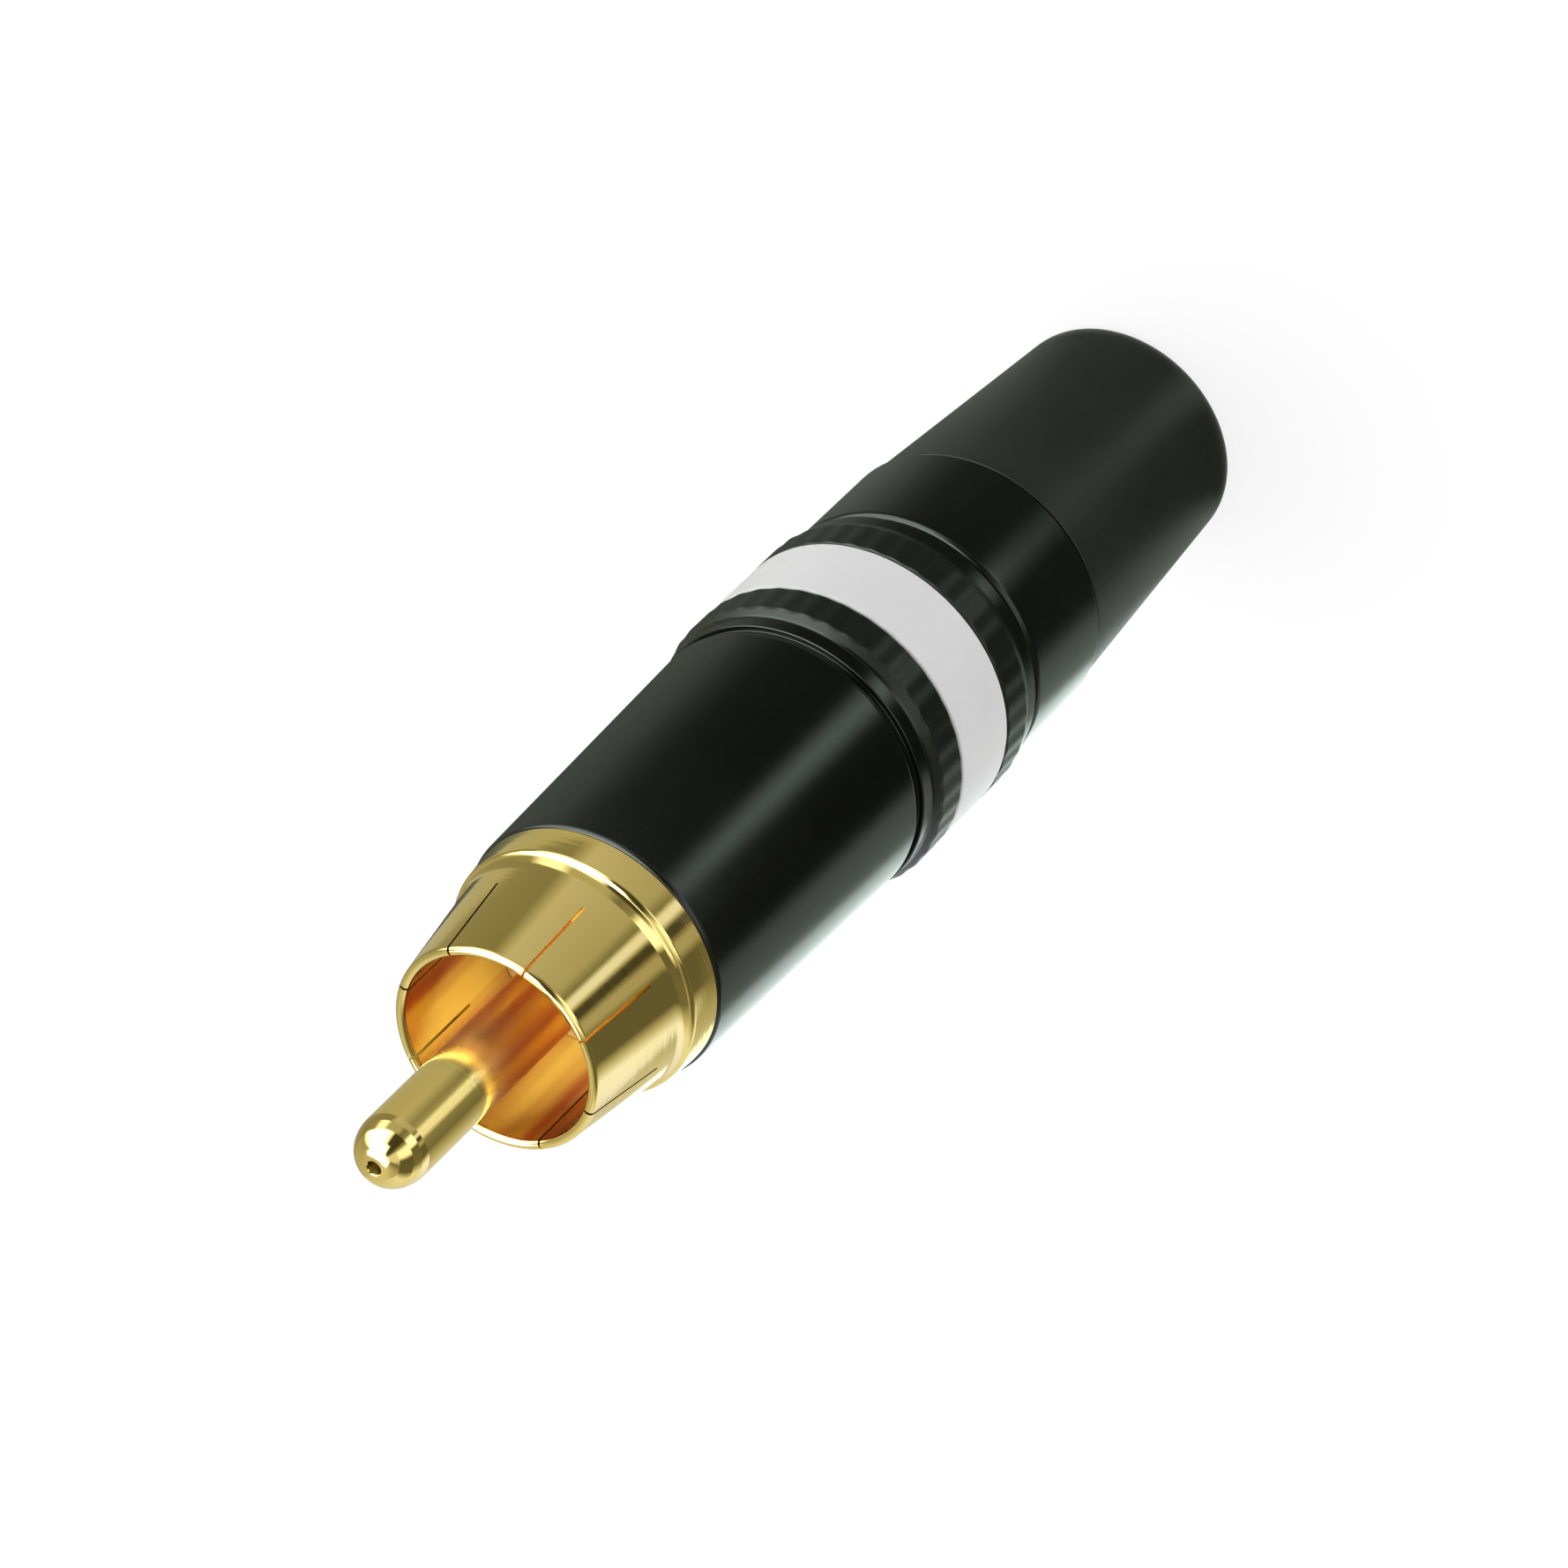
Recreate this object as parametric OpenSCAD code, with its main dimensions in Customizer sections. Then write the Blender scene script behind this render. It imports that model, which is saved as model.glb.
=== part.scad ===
// Screw-together phono plug with a slit ground sleeve, a centre pin,
// a coding ring between two knurled bands and a moulded cable boot.
// The plug stands on the rear face of its boot, with the pin pointing up +Z.

/* [Lengths along the axis] */
// Length of the cable boot that shows behind the bushing
boot_len = 14.4; // [12:0.2:18]
// Length of the rear bushing that shows
bushing_len = 8.6; // [8.2:0.2:10]
// Width of the coding ring
ring_w = 4; // [3:0.25:5]
// Length of the front shell, from the coding ring to the sleeve flange
shell_len = 18.55; // [17.5:0.25:22]
// Length of the ground sleeve in front of the shell, flange included
sleeve_len = 7.45; // [6.5:0.25:8.5]
// How far the centre pin reaches past the mouth of the sleeve
pin_reach = 8.8; // [6:0.1:10]

/* [Cable boot] */
// Radius of the boot where it meets the bushing
boot_seam_r = 6.46; // [6.2:0.02:6.56]
// Radius of the boot at its rear end
boot_rear_r = 5.55; // [5.3:0.05:6]
// Rounding of the rear edge of the boot
boot_edge = 0.5; // [0.3:0.1:1]
// Gap that shows between the boot and the bushing
boot_gap = 0.25; // [0.05:0.05:0.4]
// Radius of the cable hole
cable_r = 3.1; // [2.6:0.05:3.2]
// Chamfer at the mouth of the cable hole
entry_chamfer = 0.4; // [0.2:0.1:0.8]

/* [Rear bushing] */
// Radius of the smooth part of the bushing
bushing_r = 6.6; // [6.4:0.05:6.8]
// Wall of the tail inside the boot
tail_wall = 0.75; // [0.6:0.05:0.8]
// Length of the tail past the rear end of the chuck
tail_overrun = 1.4; // [0.8:0.1:2]
// Height of the rib that holds the boot on the tail
tail_rib_h = 0.25; // [0.1:0.05:0.3]
// Width of that rib
tail_rib_w = 1.2; // [0.8:0.1:1.6]

/* [Knurl] */
// Radius over the ribs
knurl_r = 6.92; // [6.86:0.02:7.3]
// Depth of the grooves between the ribs
knurl_depth = 0.1; // [0.06:0.02:0.3]
// Ribs round each band
knurl_ribs = 40; // [30:1:80]
// Width of each knurled band
knurl_w = 1.6; // [1.4:0.1:2.5]
// Length of the slope beside each band
bevel_len = 0.5; // [0.3:0.1:1]
// Width of the plain land past each slope
land_w = 0.7; // [0.4:0.1:1]
// Height of that land over the wall past the groove
land_h = 0.06; // [0.02:0.02:0.16]
// Width of the groove past each land
groove_w = 0.25; // [0.15:0.05:0.6]
// Depth of that groove
groove_depth = 0.2; // [0.1:0.05:0.4]
// Rounding of the shoulder past the groove
shoulder_edge = 0.35; // [0.1:0.05:0.5]

/* [Coding ring] */
// How far the ring lies below the ribs of the knurl
ring_inset = 0.02; // [0:0.02:0.3]
// Chamfer on its edges
ring_edge = 0.15; // [0.05:0.05:0.3]

/* [Front shell] */
// Radius of the shell at its shoulder groove
shell_rear_r = 6.55; // [6.4:0.05:6.8]
// Radius of the shell at the sleeve flange
shell_front_r = 6.07; // [6:0.01:6.4]
// Rounding of the front edge
shell_edge = 0.2; // [0.1:0.02:0.24]
// Length of the threaded neck behind the shell
neck_len = 9.6; // [9.2:0.1:10.2]
// Wall of the neck, measured at the thread root
neck_wall = 0.55; // [0.45:0.05:0.65]
// Height of the thread, left clear round the neck
thread_h = 0.25; // [0.2:0.05:0.3]

/* [Ground sleeve] */
// Thickness of the flange
flange_t = 1.7; // [1:0.1:2]
// Radius of the flange
flange_r = 5.9; // [5.8:0.02:5.96]
// Rounding of the front edge of the flange
flange_edge = 0.3; // [0.1:0.05:0.5]
// Radius of the cone where it starts
cone_base_r = 5.45; // [5.3:0.05:5.6]
// Radius of the hollow blend between flange and cone
cove_r = 2.2; // [1.2:0.1:2.6]
// Outer radius of the mouth
mouth_r = 4.8; // [4.6:0.05:4.9]
// Wall of the mouth
mouth_wall = 0.45; // [0.35:0.05:0.5]
// Number of slits, in pairs across the mouth
slit_count = 8; // [4:2:12]
// Width of a slit
slit_w = 0.12; // [0.1:0.01:0.4]
// Length of a slit back from the mouth
slit_len = 4.2; // [3:0.1:4.6]
// Outer radius of the spigot inside the shell
spigot_r = 4.9; // [4.8:0.05:5]
// Length of that spigot
spigot_len = 7.15; // [6.6:0.1:8]
// Height of the shoulder that the insulator sits on
shoulder_h = 2; // [1.2:0.1:2.4]
// Radius of the hole through that shoulder
shoulder_r = 3.4; // [3:0.1:3.8]

/* [Centre pin and insulator] */
// Radius of the pin
pin_r = 1.59; // [1.5:0.01:1.65]
// Length of the bullet tip
tip_len = 1.6; // [1:0.1:2.2]
// Radius of the flat end of the tip
tip_flat_r = 0.45; // [0.45:0.05:0.9]
// Radius of the dimple in the flat end
dimple_r = 0.32; // [0.2:0.02:0.4]
// Depth of the dimple
dimple_depth = 0.7; // [0.2:0.1:1]
// Radius of the stem through the insulator
stem_r = 1.35; // [1.2:0.01:1.4]
// Length of the solder cup behind the insulator
cup_len = 7; // [5:0.5:9]
// Radius of the hole in the solder cup
cup_hole_r = 0.9; // [0.7:0.02:1]
// Length of the insulator
insulator_len = 5.6; // [5.1:0.1:6]

/* [Solder tag] */
// Thickness of the tag
tag_t = 0.4; // [0.3:0.05:0.5]
// Width of the tag
tag_w = 2.4; // [1.8:0.1:2.6]
// Reach of the tag behind its washer
tag_len = 9.6; // [7:0.2:11]
// Radius of the hole for the screen wire
tag_hole_r = 0.5; // [0.3:0.05:0.7]

/* [Cable chuck] */
// Radius of the chuck where it slides into the neck
chuck_r = 4.1; // [3.95:0.05:4.25]
// Length of the chuck inside the neck
chuck_len = 7; // [5:0.5:8]
// Thickness of the collar that rests on the neck
collar_t = 1.2; // [0.8:0.1:1.4]
// Length of the tapered nose
nose_len = 6.4; // [5.5:0.1:7]
// Wall of the nose at its thin end
nose_wall = 0.6; // [0.5:0.05:0.7]
// Slots that let the nose close, in pairs across it
chuck_slots = 4; // [2:2:6]
// Width of a slot
chuck_slot_w = 0.6; // [0.4:0.1:1]

/* [Fits] */
// Clearance between pieces pressed together
press_gap = 0.02; // [0.01:0.005:0.04]
// Clearance between pieces that slide
slide_gap = 0.1; // [0.06:0.01:0.15]
// Gap at the seams on each side of the coding ring
seam_gap = 0.05; // [0.03:0.01:0.1]
// Gap between the nose of the chuck and its cone
nose_gap = 0.15; // [0.1:0.01:0.2]
// Free length between the collar and the step in the bushing
take_up = 0.5; // [0.3:0.1:0.7]

/* [Hidden] */
$fn = 96;
cut = 1;
flank_share = 0.3;

black = "#17181a";
satin_black = "#26272a";
gold = "#d9b45a";
amber = "#a8621f";
ivory = "#e9e6df";

// Stations along the axis
seam_z = boot_len;
ring_z = seam_z + bushing_len;
shell_z = ring_z + ring_w;
flange_z = shell_z + shell_len;
mouth_z = flange_z + sleeve_len;
tip_z = mouth_z + pin_reach;
neck_z = shell_z - neck_len;
collar_z = neck_z - collar_t;
step_z = collar_z - take_up;
nose_z = collar_z - nose_len;
tail_z = nose_z - tail_overrun;
spigot_z = flange_z - spigot_len;
seat_z = spigot_z - tag_t;
insulator_z = spigot_z + shoulder_h;
insulator_face_z = insulator_z + insulator_len;

// Radii that follow from the fits
root_r = knurl_r - knurl_depth;
chuck_hole_r = cable_r + slide_gap / 2;
nose_r = chuck_hole_r + nose_wall;
neck_hole_r = chuck_r + slide_gap;
neck_r = neck_hole_r + neck_wall;
guide_r = neck_r + thread_h;
thread_hole_r = guide_r + slide_gap;
collar_r = thread_hole_r - 2 * slide_gap;
ring_r = knurl_r - ring_inset;
tail_r = chuck_r + nose_gap + tail_wall;
mouth_hole_r = mouth_r - mouth_wall;
seat_r = spigot_r + press_gap;
tag_washer_r = spigot_r - press_gap;
tag_r = sqrt(pow(neck_hole_r - slide_gap, 2) - pow(tag_w / 2, 2));

// Points along an arc of radius r about (x, z), from angle a to angle b
function arc(x, z, r, a, b, n = 10) =
    [for (i = [0 : n]) let (t = a + (b - a) * i / n) [x + r * cos(t), z + r * sin(t)]];

// Outline from the edge of a knurled band at z0 to a wall of radius r, away from the coding ring:
// band, slope, land, groove and rounded shoulder. The way is 1 towards the pin and -1 towards the boot.
function band_profile(z0, r, way) =
    let (
        slope_z = z0 + way * knurl_w,
        land_z = slope_z + way * bevel_len,
        groove_z = land_z + way * land_w,
        shoulder_z = groove_z + way * groove_w,
        start = acos(max(0, 1 - groove_depth / shoulder_edge)))
    concat(
        [[root_r, z0], [root_r, slope_z], [r + land_h, land_z], [r + land_h, groove_z],
            [r - groove_depth, groove_z], [r - groove_depth, shoulder_z]],
        arc(r - shoulder_edge, shoulder_z + way * shoulder_edge, shoulder_edge, -way * start, 0));

// The same points in the opposite order
function backwards(points) = [for (i = [len(points) - 1 : -1 : 0]) points[i]];

// Solid of revolution of a half outline given as [radius, z] points
module turned(outline) {
    rotate_extrude() polygon(outline);
}

// Round bar or hole of radius r from z0 to z1
module bar(r, z0, z1) {
    translate([0, 0, z0]) cylinder(r = r, h = z1 - z0);
}

// Band of straight ribs between z0 and z0 + knurl_w
module knurl_band(z0) {
    pitch = 360 / knurl_ribs;
    flank = pitch * flank_share;
    rib = [[root_r, 0], [knurl_r, flank], [knurl_r, 2 * flank], [root_r, 3 * flank]];
    translate([0, 0, z0]) linear_extrude(height = knurl_w)
        polygon([for (i = [0 : knurl_ribs - 1]) for (p = rib)
            p[0] * [cos(i * pitch + p[1]), sin(i * pitch + p[1])]]);
}

// Black metal shell with its knurl, slope, shoulder groove and threaded neck
module front_shell() {
    color(black) difference() {
        union() {
            turned(concat(
                [[0, neck_z], [neck_r, neck_z], [neck_r, ring_z], [guide_r, ring_z], [guide_r, shell_z]],
                band_profile(shell_z, shell_rear_r, 1),
                arc(shell_front_r - shell_edge, flange_z - shell_edge, shell_edge, 0, 90),
                [[0, flange_z]]));
            knurl_band(shell_z);
        }
        bar(neck_hole_r, neck_z - cut, seat_z + cut);
        bar(seat_r, seat_z, flange_z + cut);
    }
}

// Gold sleeve: spigot, flange, cove, cone and a slit mouth with a rounded rim
module ground_sleeve() {
    cone_z = flange_z + flange_t;
    rim_r = mouth_wall / 2;
    crest_angle = 65;
    crest_r = flange_r - flange_edge * (1 - cos(crest_angle));
    crest_z = cone_z - flange_edge * (1 - sin(crest_angle));
    cove_angle = acos(1 - (crest_r - cone_base_r) / cove_r);
    cove_z = crest_z + cove_r * sin(cove_angle);
    slope = atan2(cone_base_r - mouth_r, mouth_z - rim_r - cove_z);
    color(gold) difference() {
        turned(concat(
            [[0, spigot_z], [spigot_r, spigot_z], [spigot_r, flange_z], [flange_r, flange_z]],
            arc(flange_r - flange_edge, cone_z - flange_edge, flange_edge, 0, crest_angle),
            arc(cone_base_r + cove_r, cove_z, cove_r, 180 + cove_angle, 180 + slope),
            arc(mouth_r - rim_r, mouth_z - rim_r, rim_r, slope, 180),
            [[mouth_hole_r, insulator_z], [shoulder_r, insulator_z], [shoulder_r, spigot_z]]));
        bar(shoulder_r, spigot_z - cut, insulator_z + cut);
        for (i = [0 : slit_count / 2 - 1])
            rotate([0, 0, i * 360 / slit_count])
                translate([-mouth_r - cut, -slit_w / 2, mouth_z - slit_len])
                    cube([2 * (mouth_r + cut), slit_w, slit_len + cut]);
    }
}

// Plastic plug that carries the pin on the axis of the sleeve
module pin_insulator() {
    color(amber) difference() {
        bar(mouth_hole_r - press_gap, insulator_z, insulator_face_z);
        bar(stem_r + press_gap, insulator_z - cut, insulator_face_z + cut);
    }
}

// Turned pin with a bullet tip in front and a solder cup behind
module centre_pin() {
    cup_z = insulator_z - cup_len;
    steps = 10;
    color(gold) difference() {
        turned(concat(
            [[0, cup_z], [stem_r, cup_z], [stem_r, insulator_face_z], [pin_r, insulator_face_z],
                [pin_r, tip_z - tip_len]],
            [for (i = [1 : steps]) let (t = 90 * i / steps)
                [tip_flat_r + (pin_r - tip_flat_r) * cos(t), tip_z - tip_len + tip_len * sin(t)]],
            [[0, tip_z]]));
        bar(dimple_r, tip_z - dimple_depth, tip_z + cut);
        bar(cup_hole_r, cup_z - cut, insulator_z - cup_hole_r);
        translate([0, -pin_r, cup_z - cut]) cube([2 * pin_r, 2 * pin_r, cup_len / 2 + cut]);
    }
}

// Washer clamped behind the sleeve, with a strip for the cable's screen
module ground_tag() {
    strip_z = seat_z - tag_len;
    hole_z = strip_z + tag_w / 2;
    color(gold) difference() {
        union() {
            bar(tag_washer_r, seat_z, spigot_z);
            translate([tag_r - tag_t, -tag_w / 2, strip_z]) cube([tag_t, tag_w, tag_len + tag_t]);
        }
        bar(shoulder_r - tag_t, seat_z - cut, spigot_z + cut);
        translate([0, 0, hole_z]) rotate([0, 90, 0]) cylinder(r = tag_hole_r, h = tag_r + cut);
    }
}

// Split collet that the bushing closes round the cable
module cable_chuck() {
    color(ivory) difference() {
        turned([[0, nose_z], [nose_r, nose_z], [chuck_r, collar_z], [collar_r, collar_z], [collar_r, neck_z],
            [chuck_r, neck_z], [chuck_r, neck_z + chuck_len], [0, neck_z + chuck_len]]);
        bar(chuck_hole_r, nose_z - cut, neck_z + chuck_len + cut);
        for (i = [0 : chuck_slots / 2 - 1])
            rotate([0, 0, i * 360 / chuck_slots])
                translate([-chuck_r - cut, -chuck_slot_w / 2, nose_z - cut])
                    cube([2 * (chuck_r + cut), chuck_slot_w, nose_len + cut - chuck_slot_w]);
    }
}

// Plain ring whose colour marks the channel
module colour_ring() {
    z0 = ring_z + seam_gap;
    z1 = shell_z - seam_gap;
    hole_r = guide_r + slide_gap;
    color(ivory) turned([[hole_r, z0], [ring_r - ring_edge, z0], [ring_r, z0 + ring_edge],
        [ring_r, z1 - ring_edge], [ring_r - ring_edge, z1], [hole_r, z1]]);
}

// Black metal bushing: knurl, slope, shoulder groove, smooth skirt and a ribbed tail for the boot
module rear_bushing() {
    rib_z = (seam_z + tail_z) / 2 - tail_rib_w / 2;
    nose_hole_r = nose_r + nose_gap;
    chuck_hole_top_r = chuck_r + nose_gap;
    color(black) difference() {
        union() {
            turned(concat(
                [[0, tail_z], [tail_r, tail_z], [tail_r, rib_z], [tail_r + tail_rib_h, rib_z],
                    [tail_r + tail_rib_h, rib_z + tail_rib_w], [tail_r, rib_z + tail_rib_w],
                    [tail_r, seam_z], [bushing_r, seam_z]],
                backwards(band_profile(ring_z, bushing_r, -1)),
                [[0, ring_z]]));
            knurl_band(ring_z - knurl_w);
        }
        bar(thread_hole_r, step_z, ring_z + cut);
        turned([[0, tail_z - cut], [nose_hole_r, tail_z - cut], [nose_hole_r, nose_z],
            [chuck_hole_top_r, step_z], [chuck_hole_top_r, step_z + cut], [0, step_z + cut]]);
    }
}

// Moulded boot over the tail, tapered to a rounded rear end with the cable hole
module cable_boot() {
    rib_z = (seam_z + tail_z) / 2 - tail_rib_w / 2 - press_gap;
    rib_w = tail_rib_w + 2 * press_gap;
    seat_hole_r = tail_r + press_gap;
    rib_hole_r = seat_hole_r + tail_rib_h;
    color(satin_black) difference() {
        turned(concat(
            [[0, 0]],
            arc(boot_rear_r - boot_edge, boot_edge, boot_edge, -90, 0),
            [[boot_seam_r, seam_z - boot_gap], [0, seam_z - boot_gap]]));
        bar(cable_r, -cut, tail_z + cut);
        bar(seat_hole_r, tail_z, seam_z + cut);
        bar(rib_hole_r, rib_z, rib_z + rib_w);
        turned([[0, -cut], [cable_r + entry_chamfer + cut, -cut], [cable_r, entry_chamfer],
            [0, entry_chamfer]]);
    }
}

front_shell();
ground_sleeve();
pin_insulator();
centre_pin();
ground_tag();
cable_chuck();
colour_ring();
rear_bushing();
cable_boot();
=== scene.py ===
"""Looks of a screw-together phono plug that stands on the rear face of its cable boot.

Every new piece is a surface worked out with numpy: an outline in the half plane (radius, height)
is carried round the plug's axis. Sizes are in millimetres and become metres in the mesh.
"""

import bpy
import numpy as np
from mathutils import Matrix, Vector


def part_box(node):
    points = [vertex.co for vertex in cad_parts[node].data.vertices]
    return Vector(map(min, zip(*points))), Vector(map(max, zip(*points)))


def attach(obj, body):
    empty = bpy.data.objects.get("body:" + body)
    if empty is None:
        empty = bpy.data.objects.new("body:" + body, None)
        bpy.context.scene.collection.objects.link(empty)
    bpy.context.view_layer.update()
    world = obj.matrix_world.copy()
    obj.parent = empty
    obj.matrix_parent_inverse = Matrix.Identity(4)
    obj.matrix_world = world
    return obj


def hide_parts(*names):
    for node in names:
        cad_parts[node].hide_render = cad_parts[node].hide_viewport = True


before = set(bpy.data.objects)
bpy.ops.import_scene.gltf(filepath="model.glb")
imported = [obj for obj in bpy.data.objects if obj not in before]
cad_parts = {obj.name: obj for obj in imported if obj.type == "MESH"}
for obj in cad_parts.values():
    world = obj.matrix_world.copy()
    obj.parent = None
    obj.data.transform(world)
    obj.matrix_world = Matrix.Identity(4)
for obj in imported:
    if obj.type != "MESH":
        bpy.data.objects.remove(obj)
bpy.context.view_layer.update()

MM = 0.001


def span(node):
    """Lowest height, highest height and outer radius of a node, in millimetres."""
    low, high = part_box(node)
    return low.z / MM, high.z / MM, high.y / MM


# Heights and radii that the frame gives
neck_z, flange_z, _ = span("front_shell")
spigot_z, mouth_z, flange_r = span("ground_sleeve")
cup_z, tip_z, pin_r = span("centre_pin")
ring_low_z, ring_high_z, ring_r = span("colour_ring")
tail_z, ring_z, _ = span("rear_bushing")
boot_z, boot_top_z, boot_seam_r = span("cable_boot")
insulator_z, insulator_face_z, _ = span("pin_insulator")
nose_z, _, _ = span("cable_chuck")
shell_z = ring_high_z + (ring_low_z - ring_z)
boot_gap = 0.25
seam_z = boot_top_z + boot_gap

# Roundings of edges that have no name of their own
fine_edge = 0.05
soft_edge = 0.1

# Knurled bands, with the slope, land, groove and shoulder beside each. Lacquer fills rib_fill of the
# depth between the ribs, and what lies beyond matt_r is more matt
ring_inset = 0.02
knurl_r = ring_r + ring_inset
knurl_w = 1.6
knurl_depth = 0.1
knurl_ribs = 40
knurl_edge = 0.12
rib_fill = 0.6
matt_r = 6.68
root_r = knurl_r - knurl_depth
bevel_len = 0.5
bevel_edge = 0.2
land_w = 0.7
land_h = 0.06
groove_w = 0.25
groove_depth = 0.2
groove_edge = 0.05
shoulder_edge = 0.35

# Front shell
shell_rear_r = 6.55
shell_front_r = 6.07
shell_edge = 0.2
neck_r = 4.75
neck_edge = 0.2
neck_hole_r = 4.2
guide_r = 5.0
seat_r = 4.92
tag_t = 0.4
seat_z = spigot_z - tag_t
thread_pitch = 1.0
thread_h = 0.22
thread_sunk = 0.05
thread_plain_turns = 1.2
thread_fade_turns = 0.25
thread_end = 0.02

# Ground sleeve
spigot_r = 4.9
spigot_chamfer = 0.1
flange_t = 1.7
flange_edge = 0.3
flange_taper = 0.14
flange_lean = 6
flange_chamfer = 0.05
crest_angle = np.radians(65)
cone_base_r = 5.45
cove_r = 2.2
mouth_r = 4.8
mouth_wall = 0.45
shoulder_r = 3.4
slit_count = 8
slit_w = 0.12
slit_len = 4.2

# Centre pin
stem_r = 1.35
pin_chamfer = 0.05
cup_hole_r = 0.9
cup_cut = 0.5
cut_lip = 0.2
tip_len = 1.6
tip_flat_r = 0.45
dimple_r = 0.32
dimple_depth = 0.7
dimple_edge = 0.04

# Coding ring
ring_hole_r = 5.1
ring_edge = 0.15

# Rear bushing
bushing_r = 6.6
seam_edge = 0.06
tail_r = 5.0
tail_edge = 0.15
tail_rib_h = 0.25
tail_rib_w = 1.2
tail_rib_edge = 0.08
tail_rib_low = (seam_z + tail_z) / 2 - tail_rib_w / 2
tail_rib_high = tail_rib_low + tail_rib_w
thread_hole_r = 5.1
thread_hole_edge = 0.15
collar_t = 1.2
take_up = 0.5
step_z = neck_z - collar_t - take_up
nose_hole_r = 3.9
chuck_clear_r = 4.25

# Cable boot
boot_rear_r = 5.55
boot_edge = 0.5
boot_lip_edge = 0.04
cable_r = 3.1
entry_chamfer = 0.4
boot_seat_r = 5.02

# Fineness of the meshes. The rim has an odd number of steps, so that the walls of a slit meet in pairs
columns_plain = 240
columns_rib = 16
columns_finger = 28
columns_pin = 120
columns_band = 361
steps_turn = 72
steps_cone = 40
steps_rim = 13
steps_tip = 16
steps_boot = 10
guard = 0.04
sharp_from = np.radians(35)

# Gold finish: where the pin ends and the bore begins, how far up the pin is dulled and warmed by a painted
# reflection of the bore, and the bands of painted reflection in the bore
pin_side_r = 2
bore_margin = 0.03
root_reach = 3.4
root_fade = 0.6
bore_reflection_waves = 5
bore_reflection_phase = 1.474


def rounded(corners, steps=6):
    """Closed outline of (radius, height) points from corners given as (radius, height, rounding).

    A corner's arc touches both its sides. Its centre lies on their bisector, at the rounding divided
    by the sine of half the corner's angle, and its points swing evenly from one side to the other.
    """
    corners = np.array(corners, float)
    place, rounding = corners[:, :2], corners[:, 2:]
    back = np.roll(place, 1, 0) - place
    ahead = np.roll(place, -1, 0) - place
    back /= np.linalg.norm(back, axis=1, keepdims=True)
    ahead /= np.linalg.norm(ahead, axis=1, keepdims=True)
    half = np.arccos(np.clip((back * ahead).sum(1, keepdims=True), -1, 1)) / 2
    middle = back + ahead
    middle /= np.maximum(np.linalg.norm(middle, axis=1, keepdims=True), 1e-9)
    centre = place + middle * rounding / np.sin(half)
    start = place + back * rounding / np.tan(half) - centre
    end = place + ahead * rounding / np.tan(half) - centre
    swing = np.maximum(np.pi - 2 * half, 1e-6)[:, None]
    share = np.linspace(0, 1, steps + 1)[None, :, None]
    turn = np.sin((1 - share) * swing) * start[:, None] + np.sin(share * swing) * end[:, None]
    points = (centre[:, None] + turn / np.sin(swing)).reshape(-1, 2)
    return points[np.linalg.norm(points - np.roll(points, 1, 0), axis=1) > 1e-5]


def arc(x, z, r, first, last, steps=10):
    """Points at radius r about (x, z), from the first angle to the last, in degrees."""
    t = np.radians(np.linspace(first, last, steps + 1))
    return np.stack([x + r * np.cos(t), z + r * np.sin(t)], 1)


def guarded(outline, closed=True):
    """The outline with two more points close to the ends of each long side, so that it shades flat."""
    ahead = np.roll(outline, -1, 0)
    length = np.linalg.norm(ahead - outline, axis=1)
    if not closed:
        length[-1] = 0
    near = np.where(length > 4 * guard, guard / np.maximum(length, guard), 0)
    share = np.stack([near * 0, near, 1 - near], 1)[..., None]
    points = outline[:, None] + (ahead - outline)[:, None] * share
    keep = np.stack([length >= 0, near > 0, near > 0], 1)
    return points[keep]


def round_axis(radius, height, angle):
    """Points at (radius cos angle, radius sin angle, height), in metres."""
    height = np.broadcast_to(height, np.broadcast_shapes(radius.shape, angle.shape))
    return np.stack([radius * np.cos(angle), radius * np.sin(angle), height], -1) * MM


def quads(rows, columns, wrap_rows=True, wrap_columns=True):
    """Corner numbers of the faces between neighbours on a grid, anticlockwise seen from outside."""
    row = np.arange(rows if wrap_rows else rows - 1)[:, None]
    column = np.arange(columns if wrap_columns else columns - 1)[None, :]
    row_next, column_next = (row + 1) % rows, (column + 1) % columns
    corners = [row * columns + column, row * columns + column_next,
               row_next * columns + column_next, row_next * columns + column]
    return np.stack([np.broadcast_to(c, (row.size, column.size)) for c in corners], -1).reshape(-1, 4)


def piece(name, points, faces, body, slot, material, replaced=()):
    """A mesh object from whole arrays of points and of faces, which rides on a body."""
    mesh = bpy.data.meshes.new(name)
    mesh.from_pydata(points.reshape(-1, 3), [], sum((array.tolist() for array in faces), []))
    mesh.polygons.foreach_set("use_smooth", np.ones(len(mesh.polygons), bool))
    mesh.set_sharp_from_angle(angle=sharp_from)
    mesh.materials.append(material)
    made = bpy.data.objects.new(name, mesh)
    bpy.context.scene.collection.objects.link(made)
    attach(made, body)
    if replaced:
        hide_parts(*replaced)


def hollow(name, outline, columns, dent=None, **looks):
    """A closed outline carried round the axis.

    The outline runs upwards on its outer side. The radius is the outline's, less what dent gives for
    each pair of outline point and angle.
    """
    angle = np.arange(columns)[None, :] * 2 * np.pi / columns
    radius = np.repeat(outline[:, :1], columns, 1)
    if dent:
        radius = radius - dent(outline, angle)
    points = round_axis(radius, outline[:, 1:], angle)
    piece(name, points, [quads(len(outline), columns)], **looks)


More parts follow.
